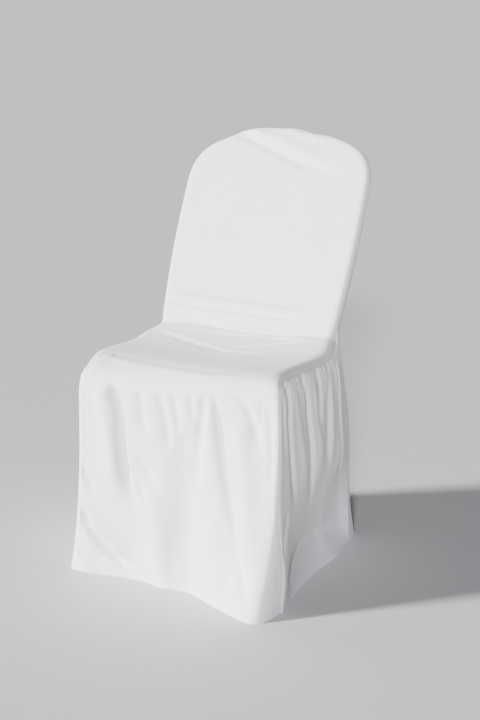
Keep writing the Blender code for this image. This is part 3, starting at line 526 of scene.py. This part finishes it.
def side_surface(side, hem_table, foot_table, crease_table, hollow_table):
    """Skirt between its three seams and its hem: a Coons patch (the sum of both ways of
    running straight between facing edges, less the patch of its corners), swollen outwards
    just past the seams and then folded. Rows run down from the seat, columns back."""
    column = -1 if side > 0 else 0
    meeting = len(EDGE_STEPS) + ROWS_ON_BACK
    corner = meeting + ROWS_ON_SEAT - 1
    top = main[corner:meeting - 1:-1, column]
    front = main[corner:, column]
    back = rear[meeting:, column]
    share = length_along(top)
    share = share / share[-1]
    hem = np.c_[smooth_curve(hem_table, share), np.zeros(len(share))]
    hem += (front[-1] - hem[0]) * (1 - share)[:, None] + (back[-1] - hem[-1]) * share[:, None]

    down = np.linspace(0, 1, len(front))[:, None, None]
    along = share[None, :, None]
    corners = ((1 - along) * ((1 - down) * top[0] + down * hem[0])
               + along * ((1 - down) * top[-1] + down * hem[-1]))
    base = ((1 - down) * top + down * hem
            + (1 - along) * front[:, None] + along * back[:, None] - corners)

    width = np.linalg.norm(np.diff(base, axis=1), axis=-1)
    from_front = np.c_[np.zeros(len(base)), np.cumsum(width, axis=1)]
    from_back = from_front[:, -1:] - from_front
    from_top = base[0, :, 2] - base[..., 2]
    y, z = base[..., 1], base[..., 2]
    swell = SIDE_SWELL * (1 - down[..., 0] ** 2) * smooth_step(from_front / SIDE_SWELL_FRONT)
    swell = swell * smooth_step(from_top / SIDE_SWELL_TOP)
    swell = swell * smooth_step(from_back / SIDE_SWELL_REAR)
    turn = quarter_round(from_front, SIDE_ROLL) * quarter_round(from_top, SIDE_ROLL)
    swell = swell + SIDE_LIP * turn * quarter_round(from_back, SIDE_ROLL)
    clear = (smooth_step(from_front / FOLD_CLEAR) * smooth_step(from_back / FOLD_CLEAR)
             * smooth_step(from_top / GATHER_CLEAR))
    rising = np.sin(0.5 * np.pi * z / FOOT_TOP)
    falling = 1 - smooth_step((z - FOOT_TOP) / FOOT_RISE)
    drawn_in = smooth_curve(foot_table, y)[..., 0] * np.where(z < FOOT_TOP, rising, falling)
    bends = creases(crease_table, y, z) + hollows(hollow_table, y, z) * smooth_step(z / HEM_CLEAR)
    phase = 2 * np.pi * y / GATHER_PITCH
    for size, rate in GATHER_WANDER:
        phase = phase + size * np.sin(rate * y)
    uneven = GATHER_UNEVEN * np.sin(GATHER_UNEVEN_RATE * y + GATHER_UNEVEN_START)
    reach = GATHER_REACH * (1 + uneven)
    bends += GATHER_HEIGHT * np.sin(phase) * np.exp(-(from_top / reach) ** 2)
    skirt = base + grid_normals(base, (side, 0, 0)) * (swell + bends * clear)[..., None]
    skirt[..., 0] -= side * drawn_in
    skirt[-1, :, 2] = 0.0
    return skirt


right_skirt = side_surface(1, RIGHT_HEM, RIGHT_FOOT, RIGHT_CREASES, RIGHT_HOLLOWS)
left_skirt = side_surface(-1, LEFT_HEM, LEFT_FOOT, LEFT_CREASES, LEFT_HOLLOWS)

# The sewn cover: all four panels are cut from the same woven polyester, turned in along
# the seams and sewn edge to edge, and their hems are turned up to a double thickness.
FRAME_SHIFT = (0.0, -0.0325, 0.0)   # from the tables' origin to the part's
CLOTH = 0.0009           # thickness of the cloth
SEAM_GAP = 0.0003        # between the cut edges at a seam
HEM_LAYERS = 0.0011      # how much thicker the turned-up hem is
HEM_DEPTH = 0.017        # height of the hem's stitching above its edge
HEM_TURN_TOP = 0.002     # how far above the stitching the hem's second layer ends
HEM_TURN_FADE = 0.003    # and the height over which it thins out
SHARP_ANGLE = 1.0        # radians; only the sheets' cut edges are sharper
PANELS = {
    "main_panel_cloth": main,
    "back_panel_cloth": rear,
    "side_skirt_right_cloth": right_skirt,
    "side_skirt_left_cloth": left_skirt,
}
PANELS_OUT = {
    "main_panel_cloth": FRONT_OUT,
    "back_panel_cloth": REAR_OUT,
    "side_skirt_right_cloth": (1.0, 0.0, 0.0),
    "side_skirt_left_cloth": (-1.0, 0.0, 0.0),
}
# Flat width and length of each cut piece, and its area
PANEL_SHEETS = {
    "main_panel_cloth": (0.52, 1.30, 0.55),
    "back_panel_cloth": (0.46, 0.91, 0.40),
    "side_skirt_right_cloth": (0.49, 0.46, 0.19),
    "side_skirt_left_cloth": (0.50, 0.46, 0.19),
}


def seam_sides(points, normals):
    """For each seam of a grid (left, right, top): the index of its points, and the unit
    direction from the seam into the cloth, square to the seam and to the normal."""
    for edge, inner in ((np.s_[:, 0], np.s_[:, 1]), (np.s_[:, -1], np.s_[:, -2]),
                        (np.s_[0, :], np.s_[1, :])):
        run = np.gradient(points[edge], axis=0)
        into = points[inner] - points[edge]
        for direction in (normals[edge], run):
            direction = direction / np.linalg.norm(direction, axis=-1, keepdims=True)
            into = into - direction * np.sum(into * direction, axis=-1, keepdims=True)
        yield edge, into / np.linalg.norm(into, axis=-1, keepdims=True)


def join_seams(panels, outs):
    """Gives all the cloth that meets at a seam one normal there, the panels' own added up
    and made unit length; points that agree to the micrometre are one place. Then draws
    each panel back from its seams by half the gap, so the cut edges face each other."""
    normals = {name: grid_normals(points, outs[name]) for name, points in panels.items()}
    on_seam = {}
    for name, points in panels.items():
        on_seam[name] = np.zeros(points.shape[:2], bool)
        on_seam[name][0] = True
        on_seam[name][:, [0, -1]] = True
    places = np.concatenate([panels[name][on_seam[name]] for name in panels])
    shared = np.concatenate([normals[name][on_seam[name]] for name in panels])
    micrometres = np.rint(places * 1e6).astype(int)
    group = np.unique(micrometres, axis=0, return_inverse=True)[1].ravel()
    total = np.zeros((group.max() + 1, 3))
    np.add.at(total, group, shared)
    shared = (total / np.linalg.norm(total, axis=1, keepdims=True))[group]
    drawn = {}
    for name, points in panels.items():
        count = on_seam[name].sum()
        normals[name][on_seam[name]] = shared[:count]
        shared = shared[count:]
        shift = np.zeros_like(points)
        for edge, into in seam_sides(points, normals[name]):
            shift[edge] += into
        size = np.linalg.norm(shift, axis=-1, keepdims=True)
        drawn[name] = points + shift / np.maximum(size, 1.0) * SEAM_GAP / 2
        drawn[name][-1, :, 2] = 0.0
        normals[name][-1, :, 2] = 0.0
        normals[name][-1] /= np.linalg.norm(normals[name][-1], axis=-1, keepdims=True)
    return drawn, normals


def cloth_lengths(points):
    """For each point of a panel: how far along the cloth it lies across and down, and how
    far it is from the nearest seam and from the hem."""
    across = np.linalg.norm(np.diff(points, axis=1), axis=-1)
    across = np.c_[np.zeros(len(points)), np.cumsum(across, axis=1)]
    down = np.linalg.norm(np.diff(points, axis=0), axis=-1)
    down = np.r_[np.zeros((1, points.shape[1])), np.cumsum(down, axis=0)]
    seam = np.minimum(np.minimum(across, across[:, -1:] - across), down)
    return across, down, seam, down[-1:] - down


def add_cloth(name, points, normals):
    """Closed thin sheet: its outer face, its inner face one thickness further in (more in
    the turned hem), and the cut edge all the way round. UVs are metres on the cloth."""
    rows, columns = points.shape[:2]
    across, down, seam, hem = cloth_lengths(points)
    outer = points + np.array(FRAME_SHIFT)
    turned_up = smooth_step((HEM_DEPTH + HEM_TURN_TOP - hem) / HEM_TURN_FADE)
    inner = outer - normals * (CLOTH + HEM_LAYERS * turned_up)[..., None]
    count = rows * columns
    index = np.arange(count).reshape(rows, columns)
    a, b, c, d = index[:-1, :-1], index[:-1, 1:], index[1:, 1:], index[1:, :-1]
    face = np.stack([a, b, c, d], axis=-1).reshape(-1, 4)
    corner = outer.reshape(-1, 3)[face]
    facing = np.cross(corner[:, 2] - corner[:, 0], corner[:, 3] - corner[:, 1])
    flip = np.sum(facing * normals.reshape(-1, 3)[face[:, 0]]) < 0
    rim = np.r_[index[:-1, 0], index[-1, :-1], index[:0:-1, -1], index[0, :0:-1]]
    after = np.roll(rim, -1)
    edge = np.c_[rim, after, after + count, rim + count]
    if flip:
        face = face[:, ::-1]
    else:
        edge = edge[:, ::-1]
    faces = np.concatenate([face, face[:, ::-1] + count, edge[:, ::-1]])
    mesh = bpy.data.meshes.new(name)
    mesh.vertices.add(2 * count)
    mesh.vertices.foreach_set("co", np.stack([outer, inner]).ravel())
    mesh.loops.add(faces.size)
    mesh.loops.foreach_set("vertex_index", faces.ravel().astype(np.int32))
    mesh.polygons.add(len(faces))
    mesh.polygons.foreach_set("loop_start", np.arange(0, faces.size, 4, dtype=np.int32))
    mesh.update(calc_edges=True)
    mesh.validate()
    place = np.tile(np.stack([across, down], axis=-1).reshape(-1, 2), (2, 1))
    layer = mesh.uv_layers.new(name="cloth_metres")
    layer.data.foreach_set("uv", place[faces.ravel()].ravel())
    for label, values in (("seam_distance", seam), ("hem_distance", hem)):
        attribute = mesh.attributes.new(label, "FLOAT", "POINT")
        attribute.data.foreach_set("value", np.tile(values.ravel(), 2))
    mesh.shade_smooth()
    mesh.set_sharp_from_angle(angle=SHARP_ANGLE)
    obj = bpy.data.objects.new(name, mesh)
    bpy.context.collection.objects.link(obj)
    return obj


def linear(hex_colour):
    """An sRGB hex value as the linear colour that the shader takes."""
    channel = np.array([int(hex_colour[i:i + 2], 16) for i in (1, 3, 5)]) / 255
    channel = np.where(channel <= 0.04045, channel / 12.92, ((channel + 0.055) / 1.055) ** 2.4)
    return (*channel.tolist(), 1.0)


def add_node(tree, kind, settings=(), inputs=()):
    """Adds one node: settings are its own values, inputs its sockets' values or links."""
    node = tree.nodes.new(kind)
    for key, value in dict(settings).items():
        setattr(node, key, value)
    for key, value in dict(inputs).items():
        if isinstance(value, bpy.types.NodeSocket):
            tree.links.new(value, node.inputs[key])
        else:
            node.inputs[key].default_value = value
    return node


# Woven polyester: filament yarn in plain weave, which gives a smooth matt white with a
# faint sheen along edges. The real threads are about 0.3 mm apart, too fine to show, so
# the weave is drawn 1.2 mm apart and very shallow.
POLYESTER = "#ebeae8"
POLYESTER_SHADE = "#e5e5e6"
SHADE_SIZE = 1 / 9       # size of the patches in which the white varies
THREAD_SPACING = 0.0012
WEAVE_DEPTH = 0.00004
WEAVE_STRENGTH = 0.35
SEAM_ALLOWANCE = 0.012   # width of the edge turned in at each seam, which shows through
ALLOWANCE_STEP = 0.0004  # as a faint step
ALLOWANCE_SOFTNESS = 0.001
PUCKER_PITCH = 0.0065    # small puckers along the hem's stitching
PUCKER_REACH = 0.006     # how far above and below it they reach
PUCKER_DEPTH = 0.0006
ROW_GROOVE = 1.2         # depth of the stitching's groove, in puckers' depths
WAVE_LENGTH = 2 * np.pi / 20    # length of one wave of the wave texture at scale 1


def woven_polyester(name):
    """Two crossed sine waves make the weave; broad noise varies the white a little. The
    seam's turned-in edge is a step, and the hem's stitching a groove with puckers."""
    material = bpy.data.materials.new(name)
    material.use_nodes = True
    tree = material.node_tree
    shader = tree.nodes["Principled BSDF"]
    place = add_node(tree, "ShaderNodeUVMap", {"uv_map": "cloth_metres"})
    waves = []
    for axis in ("X", "Y"):
        wave = add_node(tree, "ShaderNodeTexWave", {"wave_type": "BANDS", "bands_direction": axis},
                        {"Vector": place.outputs[0], "Scale": WAVE_LENGTH / THREAD_SPACING,
                         "Distortion": 0.6, "Detail": 1.0, "Detail Scale": 0.4})
        waves.append(wave.outputs["Fac"])
    weave = add_node(tree, "ShaderNodeMath", {"operation": "MULTIPLY"}, {0: waves[0], 1: waves[1]})
    bump = add_node(tree, "ShaderNodeBump", (),
                    {"Height": weave.outputs[0], "Strength": WEAVE_STRENGTH,
                     "Distance": WEAVE_DEPTH})
    seam = add_node(tree, "ShaderNodeAttribute", {"attribute_name": "seam_distance"})
    step = add_node(tree, "ShaderNodeMapRange", {"interpolation_type": "SMOOTHSTEP"},
                    {"Value": seam.outputs["Fac"], "To Min": 1.0, "To Max": 0.0,
                     "From Min": SEAM_ALLOWANCE - ALLOWANCE_SOFTNESS,
                     "From Max": SEAM_ALLOWANCE + ALLOWANCE_SOFTNESS})
    allowance = add_node(tree, "ShaderNodeBump", (),
                         {"Height": step.outputs[0], "Distance": ALLOWANCE_STEP,
                          "Normal": bump.outputs[0]})
    hem = add_node(tree, "ShaderNodeAttribute", {"attribute_name": "hem_distance"})
    from_row = add_node(tree, "ShaderNodeMath", {"operation": "SUBTRACT"},
                        {0: hem.outputs["Fac"], 1: HEM_DEPTH})
    near_row = add_node(tree, "ShaderNodeMath", {"operation": "ABSOLUTE"}, {0: from_row.outputs[0]})
    pull = add_node(tree, "ShaderNodeMapRange", {"interpolation_type": "SMOOTHSTEP"},
                    {"Value": near_row.outputs[0], "From Min": 0.0, "From Max": PUCKER_REACH,
                     "To Min": 1.0, "To Max": 0.0})
    puckers = add_node(tree, "ShaderNodeTexWave", {"wave_type": "BANDS", "bands_direction": "X"},
                       {"Vector": place.outputs[0], "Scale": WAVE_LENGTH / PUCKER_PITCH,
                        "Distortion": 1.5, "Detail": 1.0, "Detail Scale": 0.6})
    pulled = add_node(tree, "ShaderNodeMath", {"operation": "MULTIPLY_ADD"},
                      {0: puckers.outputs["Fac"], 1: pull.outputs[0], 2: 0.0})
    row = add_node(tree, "ShaderNodeMath", {"operation": "MULTIPLY_ADD"},
                   {0: pull.outputs[0], 1: -ROW_GROOVE, 2: pulled.outputs[0]})
    stitched = add_node(tree, "ShaderNodeBump", (),
                        {"Height": row.outputs[0], "Distance": PUCKER_DEPTH,
                         "Normal": allowance.outputs[0]})
    broad = add_node(tree, "ShaderNodeTexNoise", (),
                     {"Vector": place.outputs[0], "Scale": 1 / SHADE_SIZE, "Detail": 3.0})
    white = add_node(tree, "ShaderNodeMix", {"data_type": "RGBA"},
                     {0: broad.outputs["Fac"], 6: linear(POLYESTER), 7: linear(POLYESTER_SHADE)})
    tree.links.new(white.outputs[2], shader.inputs["Base Color"])
    tree.links.new(stitched.outputs[0], shader.inputs["Normal"])
    shader.inputs["Roughness"].default_value = 0.8
    shader.inputs["Specular IOR Level"].default_value = 0.3
    shader.inputs["Sheen Weight"].default_value = 0.15
    shader.inputs["Sheen Roughness"].default_value = 0.5
    return material


panels, panel_normals = join_seams(PANELS, PANELS_OUT)
for piece_name, (width, length, area) in PANEL_SHEETS.items():
    piece = add_cloth(piece_name, panels[piece_name], panel_normals[piece_name])
    piece.data.materials.append(woven_polyester(piece_name + "_woven_polyester"))
    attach(piece, "root")
    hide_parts(piece_name.removesuffix("_cloth"))

# Hem stitching: one row of polyester sewing thread round all four hems. The real stitches
# are 3 mm long and 0.4 mm thick; they are drawn a little thicker, so that they show.
STITCH_LENGTH = 0.0030
STITCH_THICKNESS = 0.0007
STITCH_PITCH = 0.0042
STITCH_SINK = 0.0001     # how far a stitch's middle lies below the cloth's face
STITCH_DIP = 0.0003      # and how much further its ends dip into it
STITCH_SIDES = 6
# Shape of a stitch: places along it and how thick it is there, as shares
STITCH_SHAPE = ((-0.5, 0.0), (-0.32, 0.8), (0.0, 1.0), (0.32, 0.8), (0.5, 0.0))
THREAD = "#e4e3e0"


def hem_row(points, normals):
    """The line on the cloth HEM_DEPTH above its hem, with the cloth's normal along it: in
    each column a share of the way between the last row above that depth and the next."""
    hem = cloth_lengths(points)[3]
    column = np.arange(points.shape[1])
    row = np.sum(hem > HEM_DEPTH, axis=0) - 1
    above, below = hem[row, column], hem[row + 1, column]
    share = ((above - HEM_DEPTH) / (above - below))[:, None]
    return [grid[row, column] + (grid[row + 1, column] - grid[row, column]) * share
            for grid in (points, normals)]


def along_line(at, run, values):
    """Values of a line, given at the lengths run, read at the lengths at."""
    return np.stack([np.interp(at, run, values[:, axis]) for axis in range(3)], axis=-1)


def add_stitches(name, line, out):
    """A row of stitches along the line, each a spindle pressed into the cloth: a point at
    each end, and between them rings of points round the thread, cos times its side
    direction plus sin times the cloth's normal."""
    run = length_along(line)
    middle = np.arange(STITCH_PITCH, run[-1] - STITCH_PITCH, STITCH_PITCH)
    share, thickness = np.array(STITCH_SHAPE).T
    centre = along_line(middle[:, None] + share * STITCH_LENGTH, run, line)
    up = along_line(middle, run, out)
    up /= np.linalg.norm(up, axis=1, keepdims=True)
    side = np.cross(centre[:, -1] - centre[:, 0], up)
    side /= np.linalg.norm(side, axis=1, keepdims=True)
    dip = STITCH_SINK + STITCH_DIP * (share / share[-1]) ** 2
    centre = centre - up[:, None] * dip[:, None]
    turn = 2 * np.pi * np.arange(STITCH_SIDES)[:, None] / STITCH_SIDES
    spokes = np.cos(turn) * side[:, None] + np.sin(turn) * up[:, None]
    radius = (thickness[1:-1] * STITCH_THICKNESS / 2)[:, None, None]
    rings = centre[:, 1:-1, None] + radius * spokes[:, None]
    rings = rings.reshape(len(middle), -1, 3)
    vertices = np.concatenate([centre[:, :1], rings, centre[:, -1:]], axis=1) + FRAME_SHIFT

    first = 1 + np.arange(STITCH_SIDES)
    after = np.roll(first, -1)
    last_ring = rings.shape[1] - STITCH_SIDES
    tip = np.full(STITCH_SIDES, rings.shape[1] + 1)
    ends = np.r_[np.c_[0 * tip, after, first], np.c_[first + last_ring, after + last_ring, tip]]
    walls = np.concatenate([np.c_[first, after, after + STITCH_SIDES, first + STITCH_SIDES] + ring
                            for ring in range(0, last_ring, STITCH_SIDES)])
    start = vertices.shape[1] * np.arange(len(middle))[:, None, None]
    faces = (start + ends).reshape(-1, 3).tolist() + (start + walls).reshape(-1, 4).tolist()
    mesh = bpy.data.meshes.new(name)
    mesh.from_pydata(vertices.reshape(-1, 3).tolist(), [], faces)
    mesh.shade_smooth()
    obj = bpy.data.objects.new(name, mesh)
    bpy.context.collection.objects.link(obj)
    return obj


def sewing_thread(name):
    """White spun polyester thread: a plain matt white."""
    material = bpy.data.materials.new(name)
    material.use_nodes = True
    shader = material.node_tree.nodes["Principled BSDF"]
    shader.inputs["Base Color"].default_value = linear(THREAD)
    shader.inputs["Roughness"].default_value = 0.7
    return material


for piece_name in PANELS:
    stitch_name = piece_name.replace("_cloth", "_hem_stitches")
    stitches = add_stitches(stitch_name, *hem_row(panels[piece_name], panel_normals[piece_name]))
    stitches.data.materials.append(sewing_thread(stitch_name + "_polyester_thread"))
    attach(stitches, "root")

# Studio: a pale floor in matt paint and a pale surround, a soft low sun from the left that
# brings out the folds of the front, and a weaker one from the front right that brings out
# those of the side.
FLOOR_SIZE = 12.0
FLOOR_PAINT = "#d6d5d3"
SURROUND = "#f2f2f2"
SURROUND_LIGHT = 0.08    # strength of the light that the surround gives
SURROUND_SEEN = 0.985    # and its strength as it is seen, matched to the floor's edge
floor_corners = np.array([(-1, -1, 0), (1, -1, 0), (1, 1, 0), (-1, 1, 0)]) * FLOOR_SIZE
floor_mesh = bpy.data.meshes.new("floor")
floor_mesh.from_pydata(floor_corners.tolist(), [], [(0, 1, 2, 3)])
floor = bpy.data.objects.new("floor", floor_mesh)
bpy.context.collection.objects.link(floor)
floor_paint = bpy.data.materials.new("floor_matt_paint")
floor_paint.use_nodes = True
floor_shader = floor_paint.node_tree.nodes["Principled BSDF"]
floor_shader.inputs["Base Color"].default_value = linear(FLOOR_PAINT)
floor_shader.inputs["Roughness"].default_value = 0.9
floor_mesh.materials.append(floor_paint)

world = bpy.data.worlds.new("studio")
world.use_nodes = True
surround = world.node_tree.nodes["Background"]
surround.inputs["Color"].default_value = linear(SURROUND)
seen = add_node(world.node_tree, "ShaderNodeLightPath")
strength = add_node(world.node_tree, "ShaderNodeMapRange", (),
                    {"Value": seen.outputs["Is Camera Ray"], "To Min": SURROUND_LIGHT,
                     "To Max": SURROUND_SEEN})
world.node_tree.links.new(strength.outputs["Result"], surround.inputs["Strength"])
bpy.context.scene.world = world


def soft_sun(name, azimuth, elevation, strength, spread, colour):
    """Sun lamp from azimuth degrees right of straight ahead and elevation degrees up, its
    edge of shadow softened over spread degrees."""
    light = bpy.data.lights.new(name, "SUN")
    light.energy = strength
    light.color = linear(colour)[:3]
    light.angle = np.radians(spread)
    obj = bpy.data.objects.new(name, light)
    obj.matrix_world = (Matrix.Rotation(np.radians(azimuth), 4, "Z")
                        @ Matrix.Rotation(np.radians(90 - elevation), 4, "X"))
    bpy.context.collection.objects.link(obj)


soft_sun("key", azimuth=-50, elevation=14, strength=12.8, spread=8, colour="#fffdf8")
soft_sun("fill", azimuth=19, elevation=15, strength=4.1, spread=6, colour="#eef0fb")

# Camera: at the photo's viewing angle, from the front right and looking down a little,
# with its lens in millimetres for a frame 36 mm high.
CAMERA_PLACE = (1.077, -2.0895, 0.916)
CAMERA_YAW, CAMERA_PITCH, CAMERA_ROLL = np.radians((26.42, 12.11, 0.51))
CAMERA_LENS = 58.0
CAMERA_FRAME = 36.0
camera = bpy.data.cameras.new("camera")
camera.sensor_fit = "VERTICAL"
camera.sensor_height = CAMERA_FRAME
camera.lens = CAMERA_LENS
camera_object = bpy.data.objects.new("camera", camera)
bpy.context.collection.objects.link(camera_object)
camera_object.matrix_world = (
    Matrix.Translation(CAMERA_PLACE) @ Matrix.Rotation(CAMERA_YAW, 4, "Z")
    @ Matrix.Rotation(np.pi / 2 - CAMERA_PITCH, 4, "X") @ Matrix.Rotation(CAMERA_ROLL, 4, "Z"))
bpy.context.scene.camera = camera_object
